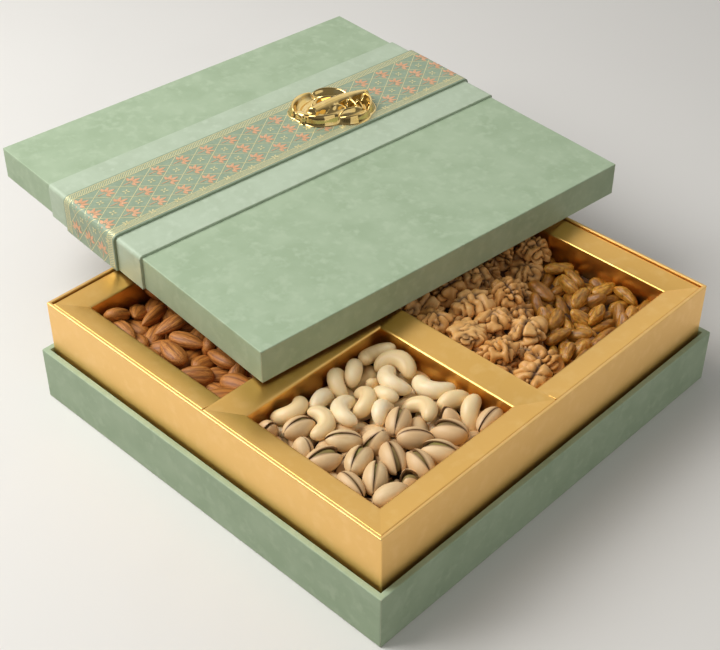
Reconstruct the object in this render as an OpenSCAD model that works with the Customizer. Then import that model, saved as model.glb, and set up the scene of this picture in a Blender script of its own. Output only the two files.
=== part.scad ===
// Gift box for sweets and dry fruit: a paper-covered base tray, a gold foil collar with four
// lift-out wells of nuts, and a shallow lift-off lid with two bands and a cast ornament.
// Millimetres, +Z up, origin at the centre of the base's underside, front towards -Y.

/* [Base] */
// Outside width of the box, along X
box_w = 260; // [220:1:320]
// Outside depth of the box, along Y
box_d = 272; // [230:1:330]
// Height of the base tray
base_h = 34; // [26:0.5:44]
// Thickness of the base's greyboard
base_board_t = 3.2; // [2:0.1:4]
// Depth of the cover paper's turn-in below the base's rim
base_turn_in = 16; // [8:1:20]
// Width of the margin that the cover paper turns under the base
base_turn_under = 15; // [8:1:25]

/* [Papers] */
// Thickness of the cover and lining papers
paper_t = 0.2; // [0.1:0.05:0.3]
// Thickness of the collar's foil paper
foil_t = 0.2; // [0.1:0.05:0.3]
// Thickness of the paper corner stays
stay_t = 0.2; // [0.1:0.05:0.3]
// Length of each leg of a corner stay
stay_leg = 14; // [8:1:22]

/* [Collar] */
// Gap between the base's wall and the collar
collar_gap = 1.4; // [0.6:0.1:2.5]
// Thickness of the collar's board
collar_board_t = 1.6; // [1:0.1:2.4]
// Height of the collar above the base's rim
collar_rise = 33; // [24:0.5:44]
// Depth of the foil's turn-in below the collar's top edge
collar_turn_in = 26; // [12:1:36]

/* [Wells] */
// Thickness of the wells' foil card
well_card_t = 1; // [0.6:0.1:1.4]
// Gap between the wells and the collar
well_gap = 0.4; // [0.3:0.1:0.8]
// Gap between one well and the next
well_seam = 0.4; // [0.2:0.1:0.8]
// Width of a well's rim along the collar
rim_w = 14.5; // [8:0.5:20]
// Width of the rim that divides two wells
divider_w = 17.5; // [8:0.5:24]
// Depth of a rim's outer edge below the collar's top edge
rim_sink = 1; // [0.6:0.1:4]
// Fall of a rim from its outer to its inner edge
rim_fall = 2.7; // [1:0.1:5]
// Depth of a well below its rim's inner edge
well_depth = 34; // [24:0.5:42]

/* [Lid] */
// Height of the lid
lid_h = 20.5; // [14:0.5:30]
// Thickness of the lid's greyboard
lid_board_t = 1.2; // [1:0.1:2]
// Gap all round between the closed lid and the collar
lid_clearance = 0.3; // [0.2:0.05:0.8]
// Depth of the cover paper's turn-in above the lid's rim
lid_turn_in = 12; // [6:1:14]
// Shift of the open lid along X
lid_shift_x = -105.8; // [-120:0.1:0]
// Shift of the open lid along Y
lid_shift_y = 48.7; // [0:0.1:90]
// Turn of the open lid about Z
lid_turn = -5.2; // [-15:0.1:15]

/* [Bands] */
// Thickness of each band's card
band_t = 1.5; // [0.6:0.1:2]
// Width of the plain band
plain_band_w = 94; // [70:1:110]
// Distance of the plain band's middle from the lid's middle, along X
plain_band_x = -25; // [-50:1:50]
// Width of the printed band
print_band_w = 52; // [30:1:64]
// Distance of the printed band's middle from the plain band's middle
print_band_shift = -2.5; // [-8:0.5:8]

/* [Ornament] */
// Length of the ornament
ornament_l = 54; // [40:1:60]
// Width of the ornament
ornament_w = 40; // [30:1:44]
// Height of the ornament's leaves above their plate
ornament_h = 7.2; // [4:0.2:12]
// Thickness of the ornament's plate
ornament_plate_t = 1.4; // [1:0.1:2]
// Distance of the ornament from the lid's middle, along Y
ornament_y = 43; // [-60:1:60]
// Turn of the ornament's length from the band's width
ornament_turn = 47; // [0:1:90]

/* [Nuts] */
// Height from a well's floor to the top layer of nuts
bed_h = 17; // [12:0.5:20]
// Share of a lower nut's thickness that stands out of the bed, between the nuts of the top layer
nut_crown = 0.24; // [0.1:0.02:0.24]
// Gap between the bedded nuts and the walls of a well
bed_gap = 0.3; // [0.2:0.1:0.8]
// Almond's length, width and thickness
almond = [22, 12.5, 8.5]; // [6:0.5:30]
// Pistachio's length, width and thickness
pistachio = [18.5, 12.5, 11.5]; // [6:0.5:30]
// Cashew's length along its curve, width and thickness
cashew = [30, 9.5, 9]; // [6:0.5:34]
// Walnut half's length, width and height
walnut = [27, 22, 11.5]; // [6:0.5:34]
// Raisin's length, width and thickness
raisin = [17, 8.5, 7.5]; // [5:0.5:24]
// Reach of the pistachios past the front well's diagonal, as a share of the well's depth
pistachio_lead = 0.1; // [0:0.01:0.3]
// Reach of the walnuts past the right well's diagonal, as a share of the well's depth
walnut_lead = 0.06; // [0:0.01:0.3]

/* [Hidden] */

// Extra length of a cutting body past the face that it cuts
over = 1;
// Gap under the top layer of nuts
nut_gap = 0.2;
// Distance along X that either kind of nuts keeps from the diagonal that parts them
mix_gap = 1.6;

sage = "#9DB493";
pale_green = "#BFD2B8";
print_green = "#9FAE8C";
gold = "#D9AF62";
grey_board = "#A59C8C";
cream = "#E9E2CF";
brass_gold = "#E3C46B";

// The base's board stands inside its cover paper
base_board_w = box_w - 2 * paper_t;
base_board_d = box_d - 2 * paper_t;
base_inner_w = base_board_w - 2 * base_board_t;
base_inner_d = base_board_d - 2 * base_board_t;
base_floor_z = paper_t + base_board_t;
base_seat_z = base_floor_z + paper_t;

// The collar stands on the base's lining, clear of its walls
collar_w = base_inner_w - 2 * paper_t - 2 * collar_gap;
collar_d = base_inner_d - 2 * paper_t - 2 * collar_gap;
collar_top = base_h + collar_rise;
collar_board_w = collar_w - 2 * foil_t;
collar_board_d = collar_d - 2 * foil_t;
collar_hole_w = collar_board_w - 2 * collar_board_t;
collar_hole_d = collar_board_d - 2 * collar_board_t;

// The four wells share the collar's opening and stand on the base's lining
wells_w = collar_hole_w - 2 * foil_t - 2 * well_gap;
wells_d = collar_hole_d - 2 * foil_t - 2 * well_gap;
well_w = (wells_w - well_seam) / 2;
well_d = (wells_d - well_seam) / 2;
rim_top_z = collar_top - rim_sink;
rim_low_z = rim_top_z - rim_fall;
well_floor_z = rim_low_z - well_depth;
bed_top_z = well_floor_z + bed_h;

// Rim widths on the left, right, near and far sides: the front and back wells carry the dividers
front_rims = [divider_w, rim_w, rim_w, divider_w];
left_rims = [rim_w, 0, rim_w, 0];
right_rims = [0, rim_w, 0, rim_w];
back_rims = [rim_w, divider_w, divider_w, rim_w];
front_at = [well_seam / 2, -well_seam / 2 - well_d];
left_at = [-well_seam / 2 - well_w, -well_seam / 2 - well_d];
right_at = [well_seam / 2, well_seam / 2];
back_at = [-well_seam / 2 - well_w, well_seam / 2];

// The lid slips over the collar
lid_wall = lid_board_t + 2 * paper_t;
lid_w = collar_w + 2 * (lid_clearance + lid_wall);
lid_d = collar_d + 2 * (lid_clearance + lid_wall);
lid_board_w = lid_w - 2 * paper_t;
lid_board_d = lid_d - 2 * paper_t;
lid_inner_w = lid_board_w - 2 * lid_board_t;
lid_inner_d = lid_board_d - 2 * lid_board_t;
lid_ceiling_z = lid_h - paper_t - lid_board_t;
print_band_x = plain_band_x + print_band_shift;

// A block centred on the origin in X and Y, from z0 to z1
module block(w, d, z0, z1) {
  translate([-w / 2, -d / 2, z0]) cube([w, d, z1 - z0]);
}

// A ring of paper tape round the four corners of a board, as deep as the board's wall
module corner_stays(w, d, z0, z1) {
  difference() {
    block(w, d, z0, z1);
    block(w - 2 * stay_t, d - 2 * stay_t, z0 - over, z1 + over);
    block(w - 2 * stay_leg, d + over, z0 - over, z1 + over);
    block(w + over, d - 2 * stay_leg, z0 - over, z1 + over);
  }
}

// The space inside a window, with a slope that rises from the window to the well's outer edge.
// A side with no rim runs on past the well, so its wall ends at the window's height.
module slope_cut(rims, drop) {
  low = rim_low_z - drop;
  high = rim_top_z - drop;
  past = [for (r = rims) r == 0 ? over : 0];
  x0 = [rims[0] - past[0], -past[0]];
  x1 = [well_w - rims[1] + past[1], well_w + past[1]];
  y0 = [rims[2] - past[2], -past[2]];
  y1 = [well_d - rims[3] + past[3], well_d + past[3]];
  top = high + 2 * over;
  polyhedron(
    points = concat(
      [[x0[0], y0[0], low], [x1[0], y0[0], low], [x1[0], y1[0], low], [x0[0], y1[0], low]],
      [[x0[1], y0[1], high], [x1[1], y0[1], high], [x1[1], y1[1], high], [x0[1], y1[1], high]],
      [[x0[1], y0[1], top], [x1[1], y0[1], top], [x1[1], y1[1], top], [x0[1], y1[1], top]]),
    faces = concat(
      [[0, 1, 2, 3], [11, 10, 9, 8]],
      [for (k = [0, 4], i = [0:3]) [k + i, k + 4 + i, k + 4 + (i + 1) % 4, k + (i + 1) % 4]]));
}

// The window of a well from z0 up, grown by a margin
module window(rims, z0, grow) {
  side = [for (r = rims) max(r, well_card_t) - grow];
  translate([side[0], side[2], z0])
    cube([well_w - side[0] - side[1], well_d - side[2] - side[3], rim_top_z + over - z0]);
}

// A folded card well: an outer skirt that stands on the base, sloping rims and a hung tray
module well(rims) {
  difference() {
    translate([0, 0, base_seat_z]) cube([well_w, well_d, rim_top_z - base_seat_z]);
    slope_cut(rims, 0);
    window(rims, well_floor_z, 0);
    difference() {
      translate([well_card_t, well_card_t, base_seat_z - over])
        cube([well_w - 2 * well_card_t, well_d - 2 * well_card_t, rim_top_z - base_seat_z + over]);
      slope_cut(rims, well_card_t);
      window(rims, well_floor_z - well_card_t, well_card_t);
    }
  }
}

// The lower layers of nuts as one bed on a well's floor, which some of their crowns rise out of
module nut_bed(from, to) {
  translate([from[0], from[1], well_floor_z])
    cube([to[0] - from[0], to[1] - from[1], bed_h]);
}

// A closed form through rings of points, drawn together to one point at either end
module loft(rings, first, last) {
  sides = len(rings[0]);
  end = len(rings) * sides + 1;
  function at(k, j) = 1 + k * sides + j % sides;
  polyhedron(
    points = concat([first], [for (ring = rings) each ring], [last]),
    faces = concat(
      [for (j = [0:sides - 1]) [0, at(0, j), at(0, j + 1)]],
      [for (k = [0:len(rings) - 2], j = [0:sides - 1])
        each [[at(k, j), at(k + 1, j), at(k + 1, j + 1)], [at(k, j), at(k + 1, j + 1), at(k, j + 1)]]],
      [for (j = [0:sides - 1]) [end, at(len(rings) - 1, j + 1), at(len(rings) - 1, j)]]));
}

// Places of the rings of a form, from -1 to 1 and closer towards its ends
function ring_places(count) = [for (k = [1:count]) -cos(180 * k / (count + 1))];

// A point on the line of a form that is bent by an arc, s from -1 to 1 along its length, and the
// same point moved sideways by a distance
function spine(length, arc, s) = arc == 0
  ? [length / 2 * s, 0]
  : let (r = length / arc * 180 / PI) [r * sin(arc / 2 * s), r * (cos(arc / 2 * s) - cos(arc / 4))];
function beside(length, arc, s, side) = spine(length, arc, s) + side * [sin(arc / 2 * s), cos(arc / 2 * s)];

// A closed pod along X: rings of an oval section, drawn out to a nose at one end and bent by an
// arc, with alternate rings swollen or drawn in by a ripple. It lies on z = 0.
module pod(size, nose = 0, arc = 0, ripple = 0, rings = 5, sides = 8) {
  lift = size[2] / 2 * (1 + abs(ripple)) * (1 + nose);
  places = ring_places(rings);
  translate([0, 0, lift]) loft(
    [for (k = [0:rings - 1]) let (s = places[k], r = sqrt(1 - s * s) * (1 - nose * s) * (1 - ripple * cos(180 * k)))
      [for (j = [0:sides - 1]) let (turn = 360 * j / sides)
        [each beside(size[0], arc, s, size[1] / 2 * r * cos(turn)), size[2] / 2 * r * sin(turn)]]],
    [each spine(size[0], arc, -1), 0], [each spine(size[0], arc, 1), 0]);
}

// A pistachio in its shell, split along one side. The split is a notch that widens towards the
// pointed end, and a roll turns it towards the top.
module split_shell(size, roll, rings = 4) {
  turns = [for (j = [0:10]) 14 + 33.2 * j];
  places = ring_places(rings);
  translate([0, 0, size[1] / 2 * 0.97]) rotate([roll, 0, 0]) loft(
    [for (s = places) let (r = sqrt(1 - s * s) * (1 - 0.1 * s), open = 0.55 + 0.45 * s)
      concat([[size[0] / 2 * s, size[1] / 2 * r * 0.6, 0]],
        [for (j = [0:10]) let (turn = j == 0 ? 14 * open : j == 10 ? -14 * open : turns[j])
          [size[0] / 2 * s, size[1] / 2 * r * cos(turn), size[2] / 2 * r * sin(turn)]])],
    [-size[0] / 2, 0, 0], [size[0] / 2, 0, 0]);
}

// Half a walnut: a dome with a groove along its top and lobes to either side
module walnut_half(size, rings = 7, sides = 12) {
  places = ring_places(rings);
  translate([0, 0, size[2] * 0.35]) loft(
    [for (k = [0:rings - 1]) let (s = places[k], r = sqrt(1 - s * s))
      [for (j = [0:sides - 1]) let (turn = 360 * j / sides, up = sin(turn) > 0 ? size[2] * 0.65 : size[2] * 0.35,
          lobe = 1 - 0.1 * (1 + cos(180 * (k + j))) - (j == sides / 4 ? 0.16 : 0))
        [size[0] / 2 * s, size[1] / 2 * r * lobe * cos(turn), up * r * lobe * sin(turn)]]],
    [-size[0] / 2, 0, 0], [size[0] / 2, 0, 0]);
}

// A nut sunk in the bed up to its crown
module crown(size, nose = 0) {
  translate([0, 0, -nut_gap - size[2] * (1 + nose / 2 - nut_crown)]) pod(size, nose = nose, rings = 3, sides = 6);
}

// Rows of a pitch from the near wall to the far one. Each row holds whole cells over its stretch
// in X, which reach gives from the row's middle, and each cell holds one copy of the children,
// turned a little to either side and end for end. Lower rows lie between the upper ones.
module scatter(from, to, pitch, sway, reach, lower = false) {
  rows = max(1, floor((to[1] - from[1]) / pitch[1]));
  depth = (to[1] - from[1]) / rows;
  shift = lower ? 1 : 0.5;
  for (j = [0:rows - 1 - (lower ? 1 : 0)]) {
    y = from[1] + (j + shift) * depth;
    stretch = reach(y);
    cells = floor((stretch[1] - stretch[0]) / pitch[0]);
    last = cells - 1 - (lower ? 1 : 0);
    if (last >= 0) for (i = [0:last]) {
      wobble = sin(i * 157 + j * 211 + 40);
      translate([stretch[0] + (i + shift) * (stretch[1] - stretch[0]) / cells, y, bed_top_z + nut_gap])
        rotate([0, 0, sway * wobble + ((i + j) % 2 == 0 ? 0 : 180)]) children();
    }
  }
}

// X of a well's diagonal at a depth, shifted by a lead: rising from the near left corner, or
// falling to the near right one
function rising_x(from, to, y, lead) = from[0] + (to[0] - from[0]) * ((y - from[1]) / (to[1] - from[1]) - lead);
function falling_x(from, to, y, lead) = to[0] - (to[0] - from[0]) * ((y - from[1]) / (to[1] - from[1]) - lead);

// Corners of the space for nuts in a well
function bed_from(at, rims) = at + [max(rims[0], well_card_t) + bed_gap, max(rims[2], well_card_t) + bed_gap];
function bed_to(at, rims) = at + [well_w, well_d]
  - [max(rims[1], well_card_t) + bed_gap, max(rims[3], well_card_t) + bed_gap];
front_from = bed_from(front_at, front_rims);
front_to = bed_to(front_at, front_rims);
left_from = bed_from(left_at, left_rims);
left_to = bed_to(left_at, left_rims);
right_from = bed_from(right_at, right_rims);
right_to = bed_to(right_at, right_rims);
back_from = bed_from(back_at, back_rims);
back_to = bed_to(back_at, back_rims);

module almond_rows(lower) {
  scatter(left_from, left_to, [almond[0] * 1.04, almond[1] * 1.07], 9,
    function(y) [left_from[0], left_to[0]], lower) children();
}

// The front well's diagonal parts its nuts: pistachios on the near right, cashews on the far left
module pistachio_rows(lower) {
  scatter(front_from, front_to, [pistachio[0] * 1.03, pistachio[1] * 1.05], 9,
    function(y) [max(front_from[0], rising_x(front_from, front_to, y, pistachio_lead) + mix_gap), front_to[0]],
    lower) children();
}

module cashew_rows() {
  scatter(front_from, front_to, [cashew[0] * 0.75, cashew[1] * 1.6], 6,
    function(y) [front_from[0], min(front_to[0], rising_x(front_from, front_to, y, pistachio_lead) - mix_gap)])
    children();
}

// The right well's other diagonal parts its nuts: walnuts on the near left, raisins on the far right
module walnut_rows(lower) {
  scatter(right_from, right_to, [walnut[0] * 1.02, walnut[1] * 1.05], 8,
    function(y) [right_from[0], min(right_to[0], falling_x(right_from, right_to, y, -walnut_lead) - mix_gap)],
    lower) children();
}

module raisin_rows(lower) {
  scatter(right_from, right_to, [raisin[0] * 1.04, raisin[1] * 1.08], 9,
    function(y) [max(right_from[0], falling_x(right_from, right_to, y, -walnut_lead) + mix_gap), right_to[0]],
    lower) children();
}

module back_cashew_rows() {
  scatter(back_from, back_to, [cashew[0] * 0.75, cashew[1] * 1.6], 6,
    function(y) [back_from[0], back_to[0]]) children();
}

module base_board() {
  color(grey_board) difference() {
    block(base_board_w, base_board_d, paper_t, base_h - paper_t);
    block(base_inner_w, base_inner_d, base_floor_z, base_h + over);
    base_stay_shape();
  }
}

module base_stay_shape() {
  corner_stays(base_board_w, base_board_d, paper_t + base_board_t, base_h - paper_t);
}

module base_corner_stays() {
  color(cream) base_stay_shape();
}

// Cover paper: round the walls, over the rim, down inside and turned under the floor
module base_wrap() {
  color(sage) difference() {
    block(box_w, box_d, 0, base_h);
    block(base_board_w, base_board_d, paper_t, base_h - paper_t);
    block(base_inner_w - 2 * paper_t, base_inner_d - 2 * paper_t, base_floor_z, base_h + over);
    block(base_inner_w, base_inner_d, base_floor_z, base_h - base_turn_in);
    block(base_board_w - 2 * base_turn_under, base_board_d - 2 * base_turn_under, -over, paper_t + over);
  }
}

module base_bottom_paper() {
  color(sage)
    block(base_board_w - 2 * base_turn_under, base_board_d - 2 * base_turn_under, 0, paper_t);
}

module base_lining() {
  color(cream) difference() {
    block(base_inner_w, base_inner_d, base_floor_z, base_h - base_turn_in);
    block(base_inner_w - 2 * paper_t, base_inner_d - 2 * paper_t, base_seat_z, base_h);
  }
}

module collar_board() {
  color(grey_board) difference() {
    block(collar_board_w, collar_board_d, base_seat_z, collar_top - foil_t);
    block(collar_hole_w, collar_hole_d, base_seat_z - over, collar_top + over);
  }
}

// Foil paper: up the collar's outside, over its top edge and down its inside
module collar_foil() {
  color(gold) difference() {
    block(collar_w, collar_d, base_seat_z, collar_top);
    block(collar_board_w, collar_board_d, base_seat_z - over, collar_top - foil_t);
    block(collar_hole_w - 2 * foil_t, collar_hole_d - 2 * foil_t, base_seat_z, collar_top + over);
  }
  color(gold) difference() {
    block(collar_hole_w, collar_hole_d, collar_top - collar_turn_in, collar_top - foil_t);
    block(collar_hole_w - 2 * foil_t, collar_hole_d - 2 * foil_t, base_seat_z, collar_top + over);
  }
}

module well_front() {
  color(gold) translate(front_at) well(front_rims);
}

module well_left() {
  color(gold) translate(left_at) well(left_rims);
}

module well_right() {
  color(gold) translate(right_at) well(right_rims);
}

module well_back() {
  color(gold) translate(back_at) well(back_rims);
}

module bedded_nuts_front() {
  color("#C9A46F") {
    nut_bed(front_from, front_to);
    pistachio_rows(true) crown(pistachio, nose = 0.1);
  }
}

module bedded_nuts_left() {
  color("#8A4F26") {
    nut_bed(left_from, left_to);
    almond_rows(true) crown(almond, nose = 0.16);
  }
}

module bedded_nuts_right() {
  color("#8B5A2B") {
    nut_bed(right_from, right_to);
    walnut_rows(true) crown(walnut);
    raisin_rows(true) crown(raisin);
  }
}

module bedded_nuts_back() {
  color("#DDBE8E") nut_bed(back_from, back_to);
}

module almonds() {
  color("#A65F2E") almond_rows(false) pod(almond, nose = 0.16, rings = 4);
}

module pistachios() {
  color("#D9B98C") pistachio_rows(false) split_shell(pistachio, 50);
}

module cashews() {
  color("#E8CFA0") cashew_rows() pod(cashew, arc = 170, rings = 6, sides = 6);
}

module walnuts() {
  color("#A9743C") walnut_rows(false) walnut_half(walnut);
}

module raisins() {
  color("#A8742A") raisin_rows(false) pod(raisin, ripple = 0.05, rings = 4, sides = 6);
}

module cashews_back() {
  color("#E8CFA0") back_cashew_rows() pod(cashew, arc = 170, rings = 6, sides = 6);
}

// Where the open lid lies on the collar's top edge
module on_collar() {
  translate([lid_shift_x, lid_shift_y, collar_top]) rotate([0, 0, lid_turn]) children();
}

module lid_stay_shape() {
  corner_stays(lid_board_w, lid_board_d, paper_t, lid_ceiling_z);
}

module lid_board() {
  color(grey_board) on_collar() difference() {
    block(lid_board_w, lid_board_d, paper_t, lid_h - paper_t);
    block(lid_inner_w, lid_inner_d, -over, lid_ceiling_z);
    lid_stay_shape();
  }
}

module lid_corner_stays() {
  color(cream) on_collar() lid_stay_shape();
}

// Cover paper: over the top, down the walls, round the rim and up inside
module lid_wrap() {
  color(sage) on_collar() difference() {
    block(lid_w, lid_d, 0, lid_h);
    block(lid_board_w, lid_board_d, paper_t, lid_h - paper_t);
    block(lid_inner_w - 2 * paper_t, lid_inner_d - 2 * paper_t, -over, lid_ceiling_z);
    block(lid_inner_w, lid_inner_d, lid_turn_in, lid_ceiling_z);
  }
}

module lid_lining() {
  color(cream) on_collar() difference() {
    block(lid_inner_w, lid_inner_d, lid_turn_in, lid_ceiling_z);
    block(lid_inner_w - 2 * paper_t, lid_inner_d - 2 * paper_t, 0, lid_ceiling_z - paper_t);
  }
}

// A card band over the lid from its front rim to its back rim, as the given layer from the lid
module band(x, w, layer) {
  inner = layer * band_t;
  outer = inner + band_t;
  on_collar() translate([x, 0, 0]) difference() {
    block(w, lid_d + 2 * outer, 0, lid_h + outer);
    block(w + over, lid_d + 2 * inner, -over, lid_h + inner);
  }
}

module band_plain() {
  color(pale_green) band(plain_band_x, plain_band_w, 0);
}

module band_print() {
  color(print_green) band(print_band_x, print_band_w, 1);
}

// Section of a cast leaf, as shares of its half width and of its height: an upright edge, a rolled
// rim, a hollow on either side and a rib down the middle
leaf_section = [[-1, 0], [-1, 0.5], [-0.86, 1], [-0.64, 0.9], [-0.36, 0.42], [-0.14, 0.32], [0, 0.56],
  [0.14, 0.32], [0.36, 0.42], [0.64, 0.9], [0.86, 1], [1, 0.5], [1, 0]];
// Section of the round stem
stem_section = [[-1, 0], [-0.92, 0.55], [-0.6, 0.88], [0, 1], [0.6, 0.88], [0.92, 0.55], [1, 0]];

// A limb of the ornament: a section along an arc, pointed at the ends and lowest there. Its place,
// length and width are shares of the ornament's.
module limb(section, at, turn, share, arc, foot = 0.5, rings = 8) {
  length = share[0] * ornament_l;
  width = share[1] * ornament_w;
  height = share[2] * ornament_h;
  translate([at[0] * ornament_l, at[1] * ornament_w, ornament_plate_t / 2]) rotate([0, 0, turn]) loft(
    [for (s = ring_places(rings)) let (r = pow(1 - s * s, 0.42) * (1 - 0.2 * s), rise = foot + (1 - foot) * sqrt(1 - s * s))
      [for (p = section) [each beside(length, arc, s, -width / 2 * r * p[0]), height * rise * p[1]]]],
    [each spine(length, arc, -1), 0], [each spine(length, arc, 1), 0]);
}

// Cast ornament: hollow leaves folded round a crossing stem, on one oval plate
module ornament() {
  color(brass_gold) on_collar()
    translate([print_band_x, ornament_y, lid_h + 2 * band_t]) rotate([0, 0, ornament_turn]) {
      intersection() {
        linear_extrude(ornament_plate_t) hull() for (s = [-1, 1])
          translate([s * (ornament_l - ornament_w) / 2 * 0.9, 0]) circle(d = ornament_w * 0.86, $fn = 48);
        block(ornament_l, ornament_w, 0, ornament_plate_t);
      }
      limb(leaf_section, [-0.29, 0.02], 66, [0.5, 0.42, 0.86], 60);
      limb(leaf_section, [-0.04, -0.24], 22, [0.56, 0.42, 0.92], -80);
      limb(leaf_section, [-0.02, 0.3], -6, [0.46, 0.34, 0.74], 64);
      limb(leaf_section, [0.31, 0.12], -64, [0.44, 0.4, 0.82], 70);
      limb(leaf_section, [0.26, -0.22], 30, [0.38, 0.32, 0.7], -70);
      limb(stem_section, [0.02, 0.02], 40, [0.98, 0.2, 1], 26, 0.7);
      limb(stem_section, [-0.3, -0.3], -30, [0.28, 0.16, 0.6], -120);
    }
}

base_board();
base_corner_stays();
base_wrap();
base_bottom_paper();
base_lining();
collar_board();
collar_foil();
well_front();
well_left();
well_right();
well_back();
bedded_nuts_front();
bedded_nuts_left();
bedded_nuts_right();
bedded_nuts_back();
almonds();
pistachios();
cashews();
walnuts();
raisins();
cashews_back();
lid_board();
lid_corner_stays();
lid_wrap();
lid_lining();
band_plain();
band_print();
ornament();
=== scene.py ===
"""Looks of the sweet box: papers, foils, bands, ornament and nuts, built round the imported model.

Sizes are millimetres in the object's own frame and become metres when a mesh is made. Walls and
sheets are profiles carried along a path, nuts are grids over two parameters, and the heaps of nuts
are settled by a small rigid-body routine.
"""
import itertools
import math

import bmesh
import bpy
import numpy as np
from mathutils import Matrix, Vector


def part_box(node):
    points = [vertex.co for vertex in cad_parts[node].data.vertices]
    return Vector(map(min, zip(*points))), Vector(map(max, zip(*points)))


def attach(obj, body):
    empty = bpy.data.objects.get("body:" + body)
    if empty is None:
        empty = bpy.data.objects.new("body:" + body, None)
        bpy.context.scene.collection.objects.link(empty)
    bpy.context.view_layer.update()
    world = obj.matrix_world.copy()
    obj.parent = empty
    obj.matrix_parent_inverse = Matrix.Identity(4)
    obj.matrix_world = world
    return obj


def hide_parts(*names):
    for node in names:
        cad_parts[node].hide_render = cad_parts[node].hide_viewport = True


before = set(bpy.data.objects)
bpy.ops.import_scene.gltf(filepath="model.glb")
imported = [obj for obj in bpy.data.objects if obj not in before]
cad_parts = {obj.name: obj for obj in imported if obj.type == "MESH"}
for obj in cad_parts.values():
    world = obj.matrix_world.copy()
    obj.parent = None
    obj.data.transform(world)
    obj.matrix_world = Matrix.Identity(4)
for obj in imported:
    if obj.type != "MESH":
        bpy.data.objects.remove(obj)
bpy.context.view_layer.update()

MM = 0.001

# The photograph's frame and the camera that was fitted to the box's corners in it
PHOTO_WIDTH = 720
SENSOR_WIDTH = 36.0
FOCAL_PIXELS = 1426
CAMERA_AZIMUTH = 43.95
CAMERA_ELEVATION = 38.85
CAMERA_DISTANCE = 866
CAMERA_TARGET = (-46.5, 33.1, 0)

# Rounding where paper or foil is folded over an edge of board
PAPER_FOLD = 0.8
FOIL_FOLD = 0.7
CARD_FOLD = 1.0


# Numbers read from the frame


def corners(name):
    """Lowest and highest corner of a CAD node, in millimetres."""
    low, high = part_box(name)
    return np.array(low) / MM, np.array(high) / MM


def lid_frame():
    """Middle, turn and size of the open lid: its four corners are the vertices that reach furthest along the diagonals."""
    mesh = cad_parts["lid_wrap"].data
    place = np.empty(len(mesh.vertices) * 3)
    mesh.vertices.foreach_get("co", place)
    place = place.reshape(-1, 3) / MM
    reach = np.array([(-1, -1), (1, -1), (1, 1), (-1, 1)]) @ place[:, :2].T
    near_left, near_right, far_right, far_left = place[reach.argmax(1), :2]
    along = near_right - near_left
    size = (np.linalg.norm(along), np.linalg.norm(far_left - near_left))
    middle = (near_left + near_right + far_right + far_left) / 4
    return np.array([*middle, place[:, 2].min()]), math.atan2(along[1], along[0]), size


base_low, base_high = corners("base_wrap")
base_w, base_d, base_h = base_high - base_low
collar_low, collar_high = corners("collar_foil")
collar_w, collar_d = (collar_high - collar_low)[:2]
collar_top, base_seat = collar_high[2], collar_low[2]
lid_middle, lid_turn, (lid_w, lid_d) = lid_frame()
lid_h = corners("lid_wrap")[1][2] - lid_middle[2]
plain_top = corners("band_plain")[1][2]
print_top = corners("band_print")[1][2]
plain_t = plain_top - lid_middle[2] - lid_h
print_t = print_top - plain_top

# Sizes that the frame's boxes don't give
BOARD_T = 3.2
PAPER_T = 0.2
BASE_TURN_IN = 16
BASE_TURN_UNDER = 15
COLLAR_BOARD_T = 1.6
COLLAR_TURN_IN = 26
LID_BOARD_T = 1.2
LID_TURN_IN = 12
CARD_T = 1.0
RIM_SINK = 1.0
RIM_FALL = 2.7
RIM_W = 14.5
DIVIDER_W = 17.5
BAND_MIDDLE = -25
PLAIN_BAND_W = 94
PRINT_BAND_W = 52
PRINT_BAND_MIDDLE = -27.5
FOIL_LIFT = 0.04
BORDER_W = 4.6
BORDER_EDGE = 1.6
DIAMONDS = 3
DIAMOND_L = 17.5
ORNAMENT = np.array([54, 40, 7.2])
ORNAMENT_PLATE_T = 1.4
SEAM = 0.15
ORNAMENT_Y = 43
ORNAMENT_TURN = 47
RELIEF_CELL = 0.25
BED_H = 17


# Meshes


def grid(rows, columns, closed_rows=False, closed_columns=False):
    """Quads between the points of a grid, wound so that columns cross rows outwards."""
    i = np.arange(rows if closed_rows else rows - 1)[:, None]
    j = np.arange(columns if closed_columns else columns - 1)[None]
    below, right = (i + 1) % rows, (j + 1) % columns
    quads = [i * columns + j, i * columns + right, below * columns + right, below * columns + j]
    return np.stack(np.broadcast_arrays(*quads), -1).reshape(-1, 4)


def piece(name, points, faces, material, body, stands_for=(), smooth=None, merge=True, marks=None):
    """A mesh piece from points in millimetres. Smooth is the angle, in degrees, up to which edges are shaded smooth.
    Marks are values or vectors, one for each point, that the material reads by name."""
    mesh = bpy.data.meshes.new(name)
    mesh.from_pydata((np.asarray(points, float) * MM).tolist(), [], [list(f) for f in faces])
    for label, values in (marks or {}).items():
        values = np.asarray(values, np.float32)
        kind, key = ("FLOAT", "value") if values.ndim == 1 else ("FLOAT_VECTOR", "vector")
        mesh.attributes.new(label, kind, "POINT").data.foreach_set(key, values.ravel())
    if merge:
        work = bmesh.new()
        work.from_mesh(mesh)
        bmesh.ops.remove_doubles(work, verts=work.verts, dist=0.002 * MM)
        bmesh.ops.dissolve_degenerate(work, edges=work.edges, dist=0.001 * MM)
        work.to_mesh(mesh)
        work.free()
    if smooth is not None:
        mesh.shade_smooth()
        mesh.set_sharp_from_angle(angle=math.radians(smooth))
    mesh.materials.append(material)
    made = bpy.data.objects.new(name, mesh)
    bpy.context.scene.collection.objects.link(made)
    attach(made, body)
    if stands_for:
        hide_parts(*stands_for)
    return made


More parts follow.
